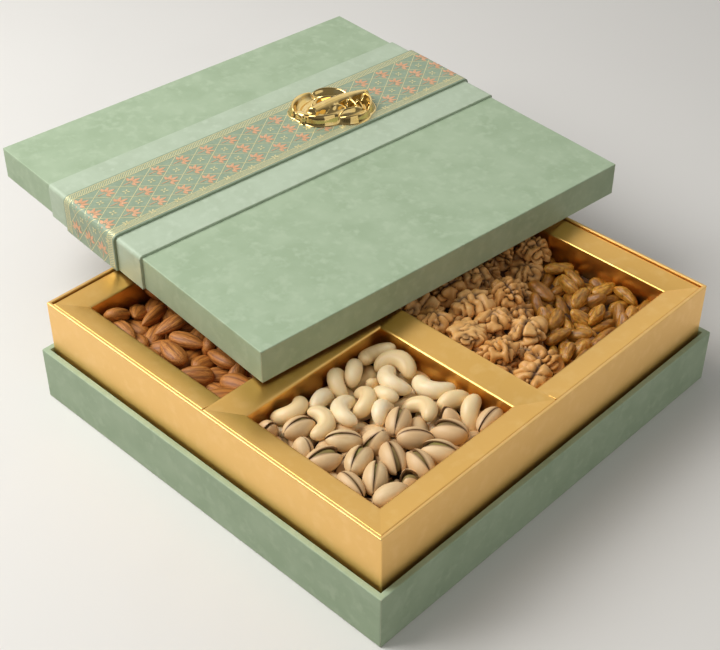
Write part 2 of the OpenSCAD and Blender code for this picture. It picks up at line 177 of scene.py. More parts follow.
def rounded(outline, radius, steps=4):
    """An open outline with its inner corners rounded: each gives way to a quadratic curve that starts and ends one
    radius from the corner."""
    outline = np.asarray(outline, float)
    q = np.linspace(0, 1, steps + 1)[:, None]
    parts = [outline[:1]]
    for before, at, after in zip(outline[:-2], outline[1:-1], outline[2:]):
        start = at + (before - at) * radius / np.linalg.norm(before - at)
        end = at + (after - at) * radius / np.linalg.norm(after - at)
        parts.append((1 - q) ** 2 * start + 2 * q * (1 - q) * at + q**2 * end)
    return np.vstack([*parts, outline[-1:]])


def round_walls(profile, width, depth, radius, steps=4):
    """Carries a profile of (inset, height) round a rectangle: at each inset the path is the rectangle drawn in by the
    inset, with corner arcs of the radius less the inset. Gives points as rows along the profile."""
    inset, height = np.asarray(profile, float).T[:, :, None]
    angle = np.radians(-90 + np.linspace(0, 90, steps + 1) + 90 * np.arange(4)[:, None]).ravel()
    side_x = np.repeat([1, 1, -1, -1], steps + 1)
    side_y = np.repeat([-1, 1, 1, -1], steps + 1)
    core = np.maximum(inset, radius)
    arc = np.maximum(radius - inset, 0)
    x = side_x * (width / 2 - core) + arc * np.cos(angle)
    y = side_y * (depth / 2 - core) + arc * np.sin(angle)
    return np.stack([x, y, height + 0 * x], -1)


def on_lid(points):
    """Points of the lid's own frame, where it lies open on the collar."""
    c, s = math.cos(lid_turn), math.sin(lid_turn)
    return np.asarray(points) @ np.array([[c, s, 0], [-s, c, 0], [0, 0, 1]]) + lid_middle


def noise(points, size, seed):
    """Smooth value noise from -1 to 1: random values on a cubic lattice of the given size, blended by a smooth step
    of the place in the cell."""
    place = np.asarray(points, float) / size + 31.7 * seed
    cell = np.floor(place)
    part = place - cell
    part = part * part * (3 - 2 * part)
    total = np.zeros(place.shape[:-1])
    for corner in itertools.product((0, 1), repeat=3):
        spread = np.sin((cell + corner) @ (12.9898, 78.233, 37.719)) * 43758.5453
        weight = np.where(corner, part, 1 - part).prod(-1)
        total += (2 * (spread - np.floor(spread)) - 1) * weight
    return total


# Materials


def linear(colour, alpha=1.0):
    """An sRGB hex colour as linear RGBA."""
    channels = [int(colour[i:i + 2], 16) / 255 for i in (1, 3, 5)]
    return [c / 12.92 if c <= 0.04045 else ((c + 0.055) / 1.055) ** 2.4 for c in channels] + [alpha]


def add(tree, kind, sockets=None, **settings):
    """Adds a node with its settings. Each socket gets a value, or a link where an output is given."""
    made = tree.nodes.new(kind)
    for key, value in settings.items():
        setattr(made, key, value)
    for key, value in (sockets or {}).items():
        if isinstance(value, bpy.types.NodeSocket):
            tree.links.new(value, made.inputs[key])
        else:
            made.inputs[key].default_value = value
    return made


def new_material(name):
    """An empty node material with its surface output."""
    made = bpy.data.materials.new(name)
    made.use_nodes = True
    made.node_tree.nodes.clear()
    return made, made.node_tree, add(made.node_tree, "ShaderNodeOutputMaterial")


def mottled(tree, where, colours, sizes, contrast=0.5, detail=4.0):
    """Two colours blended by one noise and a third laid over by another. Sizes are the noises' pitches in millimetres."""
    first, second, third = [linear(c) for c in colours]
    cloud = add(tree, "ShaderNodeTexNoise", {"Vector": where, "Scale": 1 / (sizes[0] * MM), "Detail": detail})
    fleck = add(tree, "ShaderNodeTexNoise", {"Vector": where, "Scale": 1 / (sizes[1] * MM), "Detail": 3.0})
    low, high = 0.5 - 0.25 * contrast, 0.5 + 0.25 * contrast
    share = add(tree, "ShaderNodeMapRange", {"Value": cloud.outputs["Fac"], "From Min": low, "From Max": high})
    dots = add(tree, "ShaderNodeMapRange", {"Value": fleck.outputs["Fac"], "From Min": 0.5, "From Max": 0.72})
    base = add(tree, "ShaderNodeMix", {0: share.outputs[0], 6: first, 7: second}, data_type="RGBA")
    return add(tree, "ShaderNodeMix", {0: dots.outputs[0], 6: base.outputs[2], 7: third}, data_type="RGBA").outputs[2], fleck


def sage_cover_paper():
    """Uncoated cover paper with a mottled sage print: soft clouds 19 mm across in close tones, a fibrous matt face."""
    material, tree, out = new_material("sage_cover_paper")
    where = add(tree, "ShaderNodeTexCoord").outputs["Object"]
    colour, _ = mottled(tree, where, ("#9FB291", "#AABC9C", "#AFC0A1"), (19, 6), 0.6, 5.0)
    fibre = add(tree, "ShaderNodeTexNoise", {"Vector": where, "Scale": 1 / (0.9 * MM), "Detail": 3.0})
    bump = add(tree, "ShaderNodeBump", {"Height": fibre.outputs["Fac"], "Strength": 0.2, "Distance": 0.12 * MM})
    shader = add(tree, "ShaderNodeBsdfPrincipled", {"Base Color": colour, "Roughness": 0.6, "Normal": bump.outputs[0]})
    tree.links.new(shader.outputs[0], out.inputs[0])
    return material


def pale_band_card():
    """Coated card in a paler green, smoother than the cover paper, with faint long-fibre clouds."""
    material, tree, out = new_material("pale_band_card")
    where = add(tree, "ShaderNodeTexCoord").outputs["Object"]
    colour, fleck = mottled(tree, where, ("#AFBEA3", "#B8C7AD", "#BCCAB1"), (18, 5), 0.7)
    bump = add(tree, "ShaderNodeBump", {"Height": fleck.outputs["Fac"], "Strength": 0.12, "Distance": 0.1 * MM})
    shader = add(tree, "ShaderNodeBsdfPrincipled", {"Base Color": colour, "Roughness": 0.5, "Normal": bump.outputs[0]})
    tree.links.new(shader.outputs[0], out.inputs[0])
    return material


def printed_ground():
    """Printed band's ground: grey-sage ink on coated card, slightly uneven in tone."""
    material, tree, out = new_material("printed_ground")
    where = add(tree, "ShaderNodeTexCoord").outputs["Object"]
    colour, fleck = mottled(tree, where, ("#8B9D82", "#95A68B", "#9BAB91"), (14, 2), 0.9)
    bump = add(tree, "ShaderNodeBump", {"Height": fleck.outputs["Fac"], "Strength": 0.12, "Distance": 0.1 * MM})
    shader = add(tree, "ShaderNodeBsdfPrincipled", {"Base Color": colour, "Roughness": 0.46, "Normal": bump.outputs[0]})
    tree.links.new(shader.outputs[0], out.inputs[0])
    return material


def metal(name, colours, sizes, roughness, metallic=1.0, ripple=0.3, coarse=60, grain=0.05):
    """A metal face with slight changes of tone and two depths of ripple, one as fine as its grain and one as wide as
    the waves of a laid sheet."""
    material, tree, out = new_material(name)
    where = add(tree, "ShaderNodeTexCoord").outputs["Object"]
    colour, fleck = mottled(tree, where, colours, sizes, 1.0)
    wave = add(tree, "ShaderNodeTexNoise", {"Vector": where, "Scale": 1 / (coarse * MM), "Detail": 1.0})
    wide = add(tree, "ShaderNodeBump", {"Height": wave.outputs["Fac"], "Strength": ripple, "Distance": 2 * MM})
    fine = add(tree, "ShaderNodeBump", {"Height": fleck.outputs["Fac"], "Strength": grain, "Distance": 0.05 * MM,
                                        "Normal": wide.outputs[0]})
    shader = add(tree, "ShaderNodeBsdfPrincipled", {"Base Color": colour, "Metallic": metallic,
                                                    "Roughness": roughness, "Normal": fine.outputs[0]})
    tree.links.new(shader.outputs[0], out.inputs[0])
    return material


def plain_board(name, colours, sizes, roughness=0.8):
    """Uncoated board or paper: specks and clouds in close tones with a fibrous bump."""
    material, tree, out = new_material(name)
    where = add(tree, "ShaderNodeTexCoord").outputs["Object"]
    colour, fleck = mottled(tree, where, colours, sizes, 1.0)
    bump = add(tree, "ShaderNodeBump", {"Height": fleck.outputs["Fac"], "Strength": 0.4, "Distance": 0.2 * MM})
    shader = add(tree, "ShaderNodeBsdfPrincipled", {"Base Color": colour, "Roughness": roughness, "Normal": bump.outputs[0]})
    tree.links.new(shader.outputs[0], out.inputs[0])
    return material


def nut_face(name, colours, stretch, size, roughness, subsurface=0.0, painted_shade_and_marks="#000000", bump_depth=0.3):
    """A nut's face: a noise on each nut's own coordinates, drawn out along its length, blends the first two colours,
    the tone of each nut shifts them towards the third, and a share that each nut's shape gives moves them to the last:
    painted shade in crevices, wrinkles, grooves and the gaping shell, and the own skin marks of kernels and cashews."""
    material, tree, out = new_material(name)
    local = add(tree, "ShaderNodeAttribute", attribute_name="own_place").outputs["Vector"]
    tone = add(tree, "ShaderNodeAttribute", attribute_name="tone").outputs["Fac"]
    depth = add(tree, "ShaderNodeAttribute", attribute_name="painted_shade_and_marks").outputs["Fac"]
    drawn = add(tree, "ShaderNodeMapping", {"Vector": local, "Scale": (1 / stretch, 1, 1)})
    streak = add(tree, "ShaderNodeTexNoise", {"Vector": drawn.outputs[0], "Scale": 1 / size, "Detail": 4.0})
    share = add(tree, "ShaderNodeMapRange", {"Value": streak.outputs["Fac"], "From Min": 0.35, "From Max": 0.65})
    base = add(tree, "ShaderNodeMix", {0: share.outputs[0], 6: linear(colours[0]), 7: linear(colours[1])}, data_type="RGBA")
    toned = add(tree, "ShaderNodeMix", {0: tone, 6: base.outputs[2], 7: linear(colours[2])}, data_type="RGBA")
    # Painted shade: the last colour darkens crevices, wrinkles, grooves and the gaping shell where shade falls; on
    # kernels and cashews it is their own skin marks.
    dark = add(tree, "ShaderNodeMix", {0: depth, 6: toned.outputs[2], 7: linear(painted_shade_and_marks)}, data_type="RGBA")
    bump = add(tree, "ShaderNodeBump", {"Height": streak.outputs["Fac"], "Strength": 0.6, "Distance": bump_depth * MM})
    shader = add(tree, "ShaderNodeBsdfPrincipled", {"Base Color": dark.outputs[2], "Roughness": roughness,
                                                    "Subsurface Weight": subsurface, "Subsurface Scale": 2 * MM,
                                                    "Normal": bump.outputs[0]})
    tree.links.new(shader.outputs[0], out.inputs[0])
    return material


sage_paper = sage_cover_paper()
pale_card = pale_band_card()
print_card = printed_ground()
foil_paper = metal("gold_foil_paper", ("#E3B86F", "#E7BD76", "#E9C07C"), (70, 7), 0.4, ripple=0.25, coarse=90, grain=0.03)
foil_card = metal("gold_foil_card", ("#DFB05F", "#E3B567", "#E5B96D"), (60, 7), 0.33, ripple=0.35, coarse=45, grain=0.03)
polished_brass = metal("polished_cast_brass", ("#E6C476", "#ECCD88", "#F0D596"), (12, 5), 0.1, ripple=0.12, coarse=9, grain=0.02)
copper_foil = metal("copper_hot_foil", ("#D89E74", "#E2B088", "#EAC29E"), (6, 0.8), 0.45, metallic=0.35)
gold_foil_line = metal("gold_hot_foil", ("#D8CC92", "#E0D6A2", "#E9E0B4"), (6, 0.8), 0.42, metallic=0.4)
greyboard = plain_board("greyboard", ("#A39A8A", "#958B7B", "#B5AD9F"), (6, 0.8), 0.9)
stay_tape = plain_board("gummed_paper_tape", ("#E4DCC6", "#D9D0B8", "#EFE9D8"), (8, 0.8), 0.75)
lining_paper = plain_board("ivory_lining_paper", ("#E8E1CE", "#DFD7C2", "#F0EAD9"), (20, 1.0), 0.7)
# The last colour of each nut is painted shade in its crevices, wrinkles, grooves and gaping shell; for the kernels and
# cashews it is the skin's own marks.
almond_skin = nut_face("almond_skin", ("#9C5620", "#D69246", "#B9752E"), 18, 0.5, 0.5, painted_shade_and_marks="#5E2E0E", bump_depth=0.45)
pistachio_shell = nut_face("pistachio_shell", ("#E0BC88", "#ECD0A0", "#DDB684"), 3, 3.5, 0.5, painted_shade_and_marks="#6E4420", bump_depth=0.12)
pistachio_kernel = nut_face("pistachio_kernel", ("#9A9440", "#B3AC55", "#86633C"), 3, 2.0, 0.6, painted_shade_and_marks="#54362A")
cashew_kernel = nut_face("cashew_kernel", ("#F8DFAE", "#FCE9C4", "#F2D49C"), 2, 4.0, 0.42, 0.1, painted_shade_and_marks="#C69C62", bump_depth=0.2)
walnut_skin = nut_face("walnut_skin", ("#E6AC62", "#F2C37E", "#D4984E"), 1.5, 2.5, 0.5, painted_shade_and_marks="#4A2606", bump_depth=0.2)
raisin_skin = nut_face("golden_raisin_skin", ("#B8761C", "#DDA848", "#A0681E"), 3.5, 0.9, 0.4, 0.2, painted_shade_and_marks="#6A3E0C", bump_depth=0.6)
# Painted shade: the beds of lower nuts are a dark brown that stands for the shade in the gaps between the nuts above.
bed_in_painted_shade = plain_board("nuts_in_deep_shade", ("#3E2614", "#5A3A1E", "#2A180C"), (9, 3), 0.8)


# Papers, foils and bands


def closed_sheet(outer, radius, thickness):
    """The closed profile of a sheet of paper: its rounded outer outline and, at its thickness behind, the sharp one of
    the board that it covers, walked back. Outlines are (inset, height), with the board on the left hand side."""
    outer = np.asarray(outer, float)
    step = np.diff(outer, axis=0)
    step /= np.linalg.norm(step, axis=1)[:, None]
    left = np.stack([-step[:, 1], step[:, 0]], -1)
    shift = np.vstack([left[:1], left[:-1] + left[1:], left[-1:]]) * thickness
    return np.vstack([rounded(outer, radius), (outer + shift)[::-1]])


def base_cover():
    """Cover paper of the base: turned under, up the walls, over the rim and down inside."""
    wall = BOARD_T + 2 * PAPER_T
    outline = [(BASE_TURN_UNDER, 0), (0, 0), (0, base_h), (wall, base_h), (wall, base_h - BASE_TURN_IN)]
    profile = closed_sheet(outline, PAPER_FOLD, -PAPER_T)
    points = round_walls(profile, base_w, base_d, PAPER_FOLD)
    faces = grid(*points.shape[:2], closed_rows=True, closed_columns=True)
    piece("base_cover", points.reshape(-1, 3), faces, sage_paper, "box", ["base_wrap"])


def collar_cover():
    """Foil paper of the collar: up its outside, over the top edge and down its inside."""
    wall = COLLAR_BOARD_T + 2 * PAPER_T
    outline = [(0, base_seat), (0, collar_top), (wall, collar_top), (wall, collar_top - COLLAR_TURN_IN)]
    profile = closed_sheet(outline, FOIL_FOLD, -PAPER_T)
    points = round_walls(profile, collar_w, collar_d, FOIL_FOLD)
    faces = grid(*points.shape[:2], closed_rows=True, closed_columns=True)
    piece("collar_cover", points.reshape(-1, 3), faces, foil_paper, "box", ["collar_foil"])


def lid_cover():
    """Cover paper of the lid: up inside, round the rim, up the walls and over the whole top, which is one flat face."""
    wall = LID_BOARD_T + 2 * PAPER_T
    flat = 6
    outline = [(wall, LID_TURN_IN), (wall, 0), (0, 0), (0, lid_h), (flat, lid_h)]
    outer = rounded(outline, PAPER_FOLD * 0.9)
    t = PAPER_T
    inner = [(flat, lid_h - t), (t, lid_h - t), (t, t), (wall - t, t), (wall - t, LID_TURN_IN)]
    points = round_walls(np.vstack([inner, outer]), lid_w, lid_d, PAPER_FOLD)
    rows, columns = points.shape[:2]
    faces = grid(rows, columns, closed_columns=True).tolist()
    faces.append(list(range(columns))[::-1])
    faces.append(list(range((rows - 1) * columns, rows * columns)))
    piece("lid_cover", on_lid(points.reshape(-1, 3)), faces, sage_paper, "lid", ["lid_wrap"])


def band_path(thickness):
    """Outline of a band over the lid in (y, z), from the front rim to the back rim, with its outward normals. The lid's
    outline is rounded at the arrises and moved outwards by the thickness."""
    low_y, high_y = -lid_d / 2, lid_d / 2
    line = rounded([(low_y, 0), (low_y, lid_h), (high_y, lid_h), (high_y, 0)], CARD_FOLD, steps=6)
    tangent = np.gradient(line, axis=0)
    tangent /= np.linalg.norm(tangent, axis=1)[:, None]
    normal = np.stack([-tangent[:, 1], tangent[:, 0]], -1)
    return line + normal * thickness, normal


def band(name, middle, width, low, high, material, node):
    """A strip of card over the lid: a flat section with eased edges carried along the band's path."""
    edge = min(0.25, (high - low) / 3)
    half = width / 2
    section = [(half, low), (half, high - edge), (half - edge, high), (edge - half, high), (-half, high - edge), (-half, low)]
    rings = []
    for x, lift in section:
        line, _ = band_path(lift)
        rings.append(np.column_stack([np.full(len(line), middle + x), line]))
    points = np.stack(rings, 1)
    rows, columns = points.shape[:2]
    faces = grid(rows, columns, closed_columns=True).tolist()
    faces.append(list(range(columns))[::-1])
    faces.append(list(range((rows - 1) * columns, rows * columns)))
    piece(name, on_lid(points.reshape(-1, 3)), faces, material, "lid", [node])


base_cover()
collar_cover()
lid_cover()
band("plain_band", BAND_MIDDLE, PLAIN_BAND_W, 0, plain_t, pale_card, "band_plain")
band("printed_band", PRINT_BAND_MIDDLE, PRINT_BAND_W, plain_t, plain_t + print_t, print_card, "band_print")


# Print on the upper band: a trellis of diamonds with a flower bud in each, between two hatched borders


def on_band(across, along, lift=0):
    """Points over the printed band: across from its middle and along its path from the front rim."""
    line, _ = band_path(plain_t + print_t + lift)
    reach = np.concatenate([[0], np.cumsum(np.linalg.norm(np.diff(line, axis=0), axis=1))])
    y, z = np.interp(along, reach, line[:, 0]), np.interp(along, reach, line[:, 1])
    return on_lid(np.stack([PRINT_BAND_MIDDLE + across, y, z], -1)), reach[-1]


def strokes(name, starts, ends, width, outline, steps, material, lift=FOIL_LIFT):
    """Flat strokes on the printed band. Each runs from a start to an end, and the outline gives its half width, as a
    share of the width, at places from 0 to 1 along it."""
    starts, ends = np.asarray(starts, float)[:, None, None], np.asarray(ends, float)[:, None, None]
    along = ends - starts
    t = np.linspace(0, 1, steps + 1)[None, :, None, None]
    beside = np.concatenate([along[..., 1:], -along[..., :1]], -1) / np.linalg.norm(along, axis=-1, keepdims=True)
    side = np.array([1, -1])[None, None, :, None] * beside * (width / 2 * outline(t))
    flat = starts + along * t + side
    points, _ = on_band(flat[..., 0], flat[..., 1], lift)
    faces = grid(steps + 1, 2)[None, :, ::-1] + np.arange(len(flat))[:, None, None] * 2 * (steps + 1)
    piece(name, points.reshape(-1, 3), faces.reshape(-1, 4), material, "lid", merge=False)


def even(t):
    return np.ones_like(t)


def petal(t):
    """A petal's outline: half a sine wave, drawn towards its foot."""
    return np.sin(np.pi * t**0.8) ** 0.9


def fan(middle, turn, inner, petals):
    """Starts and ends of petals that spread from a middle. Petals are (angle from the turn, reach) pairs."""
    rays = [(math.radians(turn + angle), reach) for angle, reach in petals]
    return ([middle + inner * np.array([math.sin(a), math.cos(a)]) for a, _ in rays],
            [middle + (inner + reach) * np.array([math.sin(a), math.cos(a)]) for a, reach in rays])


def print_on_band():
    """Borders, trellis and flowers: a bud in each diamond and a small rosette in each diamond between four. The trellis
    starts at the front rim, so that the lid's arris falls between two buds."""
    length = on_band(0, 0)[1]
    trellis_w = PRINT_BAND_W - 2 * (BORDER_W + BORDER_EDGE)
    pitch = trellis_w / DIAMONDS
    rows = int(length // DIAMOND_L)
    edges = [side * (trellis_w / 2 + k * BORDER_W) for side in (-1, 1) for k in (0.0, 1.0)]
    strokes("border_lines", [(x, 0.3) for x in edges], [(x, length - 0.3) for x in edges], 0.5, even, 300, gold_foil_line, 2 * FOIL_LIFT)
    spots = np.arange(1.2, length - 3.2, 1.15)
    hatches = [(side * (trellis_w / 2 + 0.3), y, side * (trellis_w / 2 + BORDER_W - 0.3), y + 1.8) for side in (-1, 1) for y in spots]
    strokes("border_hatching", [h[:2] for h in hatches], [h[2:] for h in hatches], 0.42, even, 2, gold_foil_line)
    cells = [np.array([-trellis_w / 2 + (i + 0.5) * pitch, (j + 0.5) * DIAMOND_L]) for i in range(DIAMONDS) for j in range(rows)]
    corner, tip = np.array([pitch / 2, 0]), np.array([0, DIAMOND_L / 2])
    for way in (-1, 1):
        strokes("trellis_lines_" + ("left" if way < 0 else "right"), [c + a * corner for c in cells for a in (-1, 1)],
                [c - way * a * tip for c in cells for a in (-1, 1)], 0.42, even, 8, gold_foil_line, (1.5 + way / 2) * FOIL_LIFT)
    feet = [c - (0, 1.9) for c in cells]
    buds = [fan(foot, 0, 1.5, ((0, 6.0), (36, 5.2), (-36, 5.2), (74, 4.0), (-74, 4.0))) for foot in feet]
    strokes("bud_petals", sum((b[0] for b in buds), []), sum((b[1] for b in buds), []), 2.1, petal, 8, copper_foil, 3 * FOIL_LIFT)
    strokes("bud_stems", [foot - (0, 4.2) for foot in feet], [foot + (0, 0.9) for foot in feet], 0.6, even, 2, copper_foil, 3 * FOIL_LIFT)
    between = [c + corner + tip for c in cells if c[0] < pitch and c[1] + DIAMOND_L < length]
    rosettes = [fan(middle, 45, 0.5, ((0, 2.0), (90, 2.0), (180, 2.0), (270, 2.0))) for middle in between]
    strokes("rosette_petals", sum((r[0] for r in rosettes), []), sum((r[1] for r in rosettes), []), 1.1, petal, 6, gold_foil_line, 3 * FOIL_LIFT)


print_on_band()


# Wells


def rim_profile():
    """Section of a folded rim as (share of the rim's width, height): skirt, outer fold, slope with a slight crown,
    inner fold and the wall down to the floor."""
    low, high = rim_low, rim_high
    slope = np.linspace(0, 1, 9)
    crown = 0.18 * np.sin(np.pi * slope)
    top = np.stack([slope * RIM_W, high + (low - high) * slope + crown], -1)
    skirt = [(0, base_seat)]
    wall = [(RIM_W, well_floor)]
    line = np.vstack([skirt, rounded(np.vstack([[(0, high - 6)], top[:2]]), CARD_FOLD, 4), top[1:-1],
                      rounded(np.vstack([top[-2:], [(RIM_W, low - 6)]]), CARD_FOLD, 4), wall])
    return line[:, 0] / RIM_W, line[:, 1]


def well(name, low, high, rims, node):
    """A folded card well. Rims are the widths on the near, right, far and left sides. A side with a rim is the rim's
    section carried along it, mitred into its neighbours. A side without one is a plain wall up to the window's height.
    The card's thickness is laid behind."""
    share, height = rim_profile()
    wall_part = np.arange(len(share)) >= len(share) - 4
    start = np.array([(low[0], low[1]), (high[0], low[1]), (high[0], high[1]), (low[0], high[1])])
    points, faces, count = [], [], 0
    for k in range(4):
        width, before, after = rims[k], rims[k - 1], rims[(k + 1) % 4]
        origin, along = start[k], start[(k + 1) % 4] - start[k]
        length = np.linalg.norm(along)
        along = along / length
        inward = np.array([-along[1], along[0]])
        inset = share * width if width else np.full(len(share), CARD_T)
        tall = height if width else np.minimum(height, rim_low)
        first = share * before if before else np.where(wall_part, CARD_T, -SEAM)
        last = share * after if after else np.where(wall_part, CARD_T, -SEAM)
        if not width:
            keep = np.array([len(share) - 5, len(share) - 1])
            inset, tall, first, last = inset[keep], tall[keep], share[keep] * before, share[keep] * after
            first, last = np.full(2, before or CARD_T), np.full(2, after or CARD_T)
            tall = np.array([rim_low, well_floor])
        steps = np.concatenate([[0, 0.001], np.linspace(0, 1, 23)[1:-1], [0.999, 1]])
        s = first[:, None] + (length - last - first)[:, None] * steps
        flat = origin + s[..., None] * along + inset[:, None, None] * inward
        z = np.broadcast_to(tall[:, None], s.shape)
        points.append(np.concatenate([flat, z[..., None]], -1).reshape(-1, 3))
        faces.append(grid(len(inset), 25) + count)
        count += s.size
    inner = [w or CARD_T for w in rims]
    x0, x1, y0, y1 = low[0] + inner[3], high[0] - inner[1], low[1] + inner[0], high[1] - inner[2]
    u, v = np.meshgrid(np.linspace(0, 1, 25), np.linspace(0, 1, 25))
    floor = np.stack([x0 + (x1 - x0) * u, y0 + (y1 - y0) * v, np.full_like(u, well_floor)], -1)
    points.append(floor.reshape(-1, 3))
    faces.append(grid(25, 25) + count)
    made = piece(name, np.vstack(points), np.vstack(faces), foil_card, node.replace("well_", "") + "_well", [node],
                 smooth=25)
    card = made.modifiers.new("card", "SOLIDIFY")
    card.thickness = CARD_T * MM
    card.offset = -1
    card.use_even_offset = True
    return made


rim_high = collar_top - RIM_SINK
rim_low = rim_high - RIM_FALL
well_floor = corners("bedded_nuts_front")[0][2]
bed_top = well_floor + BED_H
RIMS = {
    "well_front": (RIM_W, RIM_W, DIVIDER_W, DIVIDER_W),
    "well_left": (RIM_W, 0, 0, RIM_W),
    "well_right": (0, RIM_W, RIM_W, 0),
    "well_back": (DIVIDER_W, DIVIDER_W, RIM_W, RIM_W),
}
for node, rims in RIMS.items():
    well("folded_" + node, *corners(node), rims, node)


# Nuts


def pod(rows, first, last):
    """Points and faces of a closed form: rows of rings, with a fan of triangles to a point at either end."""
    count, sides = rows.shape[:2]
    points = np.vstack([rows.reshape(-1, 3), [first], [last]])
    quads = grid(count, sides, closed_columns=True)
    j = np.arange(sides)
    after = (j + 1) % sides
    start = np.stack([np.full(sides, count * sides), after, j], -1)
    end = np.stack([np.full(sides, count * sides + 1), j + (count - 1) * sides, after + (count - 1) * sides], -1)
    return points, quads, np.vstack([start, end])


def rings(count, sides):
    """Places from -1 to 1 along a pod, closer towards its ends, and angles round it, as a column and a row."""
    s = -np.cos(np.pi * (np.arange(count) + 1) / (count + 1))[:, None]
    return s, (2 * np.pi * np.arange(sides) / sides)[None]


def almond(seed):
    """Flat drop: the half width is a power curve, blunt behind and pointed in front, with ridges along it."""
    s, turn = rings(19, 40)
    swell = (1 + s) ** 0.48 * (1 - s) ** 0.78 / 1.07
    wave = np.cos(9 * turn + 1.3 * seed + 0.6 * np.sin(2 * s + seed))
    ridge = 1 + 0.014 * wave
    x = 11.9 * s + 0 * turn
    y = 6.3 * swell * np.cos(turn) * ridge
    z = 4.2 * swell ** 0.9 * np.sin(turn) * ridge
    rows = np.stack([x, y, z], -1)
    rows[..., 1:] *= 1 + 0.05 * noise(rows, 6.0, seed)[..., None]
    # The share returned with the shape is painted shade, darkening the grooves between the ridges.
    return pod(rows, (-12, 0, 0), (12.3, 0, 0)), np.clip(-wave - 0.3, 0, 1) * (1 - s**4)


def raisin(seed):
    """Long flat oval, drawn in by fine folds that wander along it, and dented."""
    s, turn = rings(25, 44)
    swell = (1 - s * s) ** 0.45
    flat = np.stack([3 * s + 0 * turn, 4 * np.cos(turn) + 0 * s, 4 * np.sin(turn) + 0 * s], -1)
    fold = np.minimum(np.abs(noise(flat, 1.7, seed)) / 0.45, 1) ** 0.6
    ridge = 1 + (0.1 * fold - 0.07) * (1 - s**6)
    long = 8.9 + 0.9 * math.sin(seed * 2.6)
    rows = np.stack([long * s + 0 * turn, 4.5 * swell * np.cos(turn) * ridge, 3.5 * swell * np.sin(turn) * ridge], -1)
    rows *= 1 + 0.12 * noise(rows, 5.5, seed)[..., None]
    rows[..., 2] += 1.4 * s * s * math.sin(seed * 2.1)
    # The share returned with the shape is painted shade, darkening the valleys between the folds.
    return pod(rows, rows[0].mean(0) * 1.01, rows[-1].mean(0) * 1.01), (1 - fold) * 0.8 * (1 - s**4)


def cashew(seed):
    """Kidney: an oval section carried along an arc, fullest in the middle, with blunt ends, one rounder."""
    s, turn = rings(24, 20)
    arc = math.radians(190 + 20 * math.sin(seed * 1.7))
    bend = 27 / arc
    angle = arc / 2 * s
    thick = (1 - np.abs(s) ** 4.5) ** 0.5 * (4.15 + 0.4 * s + 0.75 * (1 - s * s))
    thick = thick * (1 + 0.06 * np.cos(turn))
    out = bend + thick * np.cos(turn)
    rows = np.stack([out * np.sin(angle), out * np.cos(angle) - bend * 0.7, 0.94 * thick * np.sin(turn)], -1)
    rows *= 1 + 0.03 * noise(rows, 7.0, seed)[..., None]
    seam = np.exp(-((np.abs(np.cos(turn)) / 0.14) ** 2)) * 0.22 + 0 * s
    return pod(rows, rows[0].mean(0), rows[-1].mean(0)), seam


def walnut(seed):
    """Half a walnut: a dome over a flatter base and a groove along its middle. The zero lines of a noise are its
    crevices, and between them the face swells into rounded folds. The crevices and groove are painted dark, as shade."""
    s, turn = rings(46, 70)
    swell = (1 - s * s) ** 0.5
    up = np.sin(turn) + 0 * s
    size = np.where(up > 0, 10.0, 5.0)
    rows = np.stack([13.6 * s + 0 * turn, 11.2 * swell * np.cos(turn), size * swell * up], -1)
    bent = rows * (1, 0.62, 0.62) + 1.8 * noise(rows, 6.0, seed + 1)[..., None]
    fold = np.minimum(np.abs(noise(bent, 3.7, seed + 5)) * 1.6, 1.2) ** 0.5
    groove = np.exp(-((rows[..., 1] / 1.2) ** 2)) * np.clip(2 * up + 0.6, 0, 1)
    lift = fold * (1 - 0.85 * groove)
    wide = noise(rows, 8.0, seed + 3)
    rows *= (0.58 + 0.38 * lift + 0.1 * wide)[..., None]
    # The share returned with the shape is painted shade, darkening the crevices and the middle groove.
    return pod(rows, rows[0].mean(0), rows[-1].mean(0)), np.clip(1.15 - 1.9 * lift, 0, 1)


def pistachio_half(side, gape):
    """Half a shell: the outer skin over half a turn and the inner one back, swung open by the gape about its blunt end."""
    s, _ = rings(17, 1)
    turn = np.linspace(0.03, math.pi - 0.03, 15)[None]
    turn = np.concatenate([turn, turn[:, ::-1]], 1)
    skin = np.where(np.arange(30) < 15, 1, 0.87)[None]
    swell = (1 + s) ** 0.5 * (1 - s) ** 0.6 / 1.04
    x = 9.7 * s * (0.06 + 0.94 * skin) + 0.2
    y = 6.1 * swell * np.cos(turn) * skin
    z = 5.9 * swell * np.sin(turn) * skin
    rows = np.stack([x + 0 * turn, y, z], -1)
    first, last = np.array([-9.6, 0, 0.3]), np.array([10.0, 0, 0.15])
    c, w = math.cos(gape / 2), math.sin(gape / 2)
    swing = np.array([[c, 0, w], [0, 1, 0], [-w, 0, c]])
    hinge = np.array([-8.6, 0, 0])
    rows, first, last = [(p - hinge) @ swing + hinge for p in (rows, first, last)]
    if side < 0:
        rows, first, last = [p * (1, -1, -1) for p in (rows, first, last)]
    points, quads, fans = pod(rows, first, last)
    # Painted shade: the halves' cut edges and their inner skin are darkened, as the shade in the gaping slit.
    gape_painted_shade = np.where((np.arange(30) % 15 < 1) | (np.arange(30) % 15 > 13), 0.8, np.where(skin[0] < 1, 0.6, 0))[None] + 0 * s
    return (points, quads, fans), gape_painted_shade


def joined(parts):
    """Several pods as one, with their shares of painted shade and marks."""
    points, quads, fans, painted_shades_and_marks, count = [], [], [], [], 0
    for (place, four, three), painted_shade_and_marks in parts:
        points.append(place)
        quads.append(four + count)
        fans.append(three + count)
        painted_shades_and_marks.append(np.append(painted_shade_and_marks.ravel(), [painted_shade_and_marks.flat[0], painted_shade_and_marks.flat[-1]]))
        count += len(place)
    return np.vstack(points), np.vstack(quads), np.vstack(fans), np.concatenate(painted_shades_and_marks)


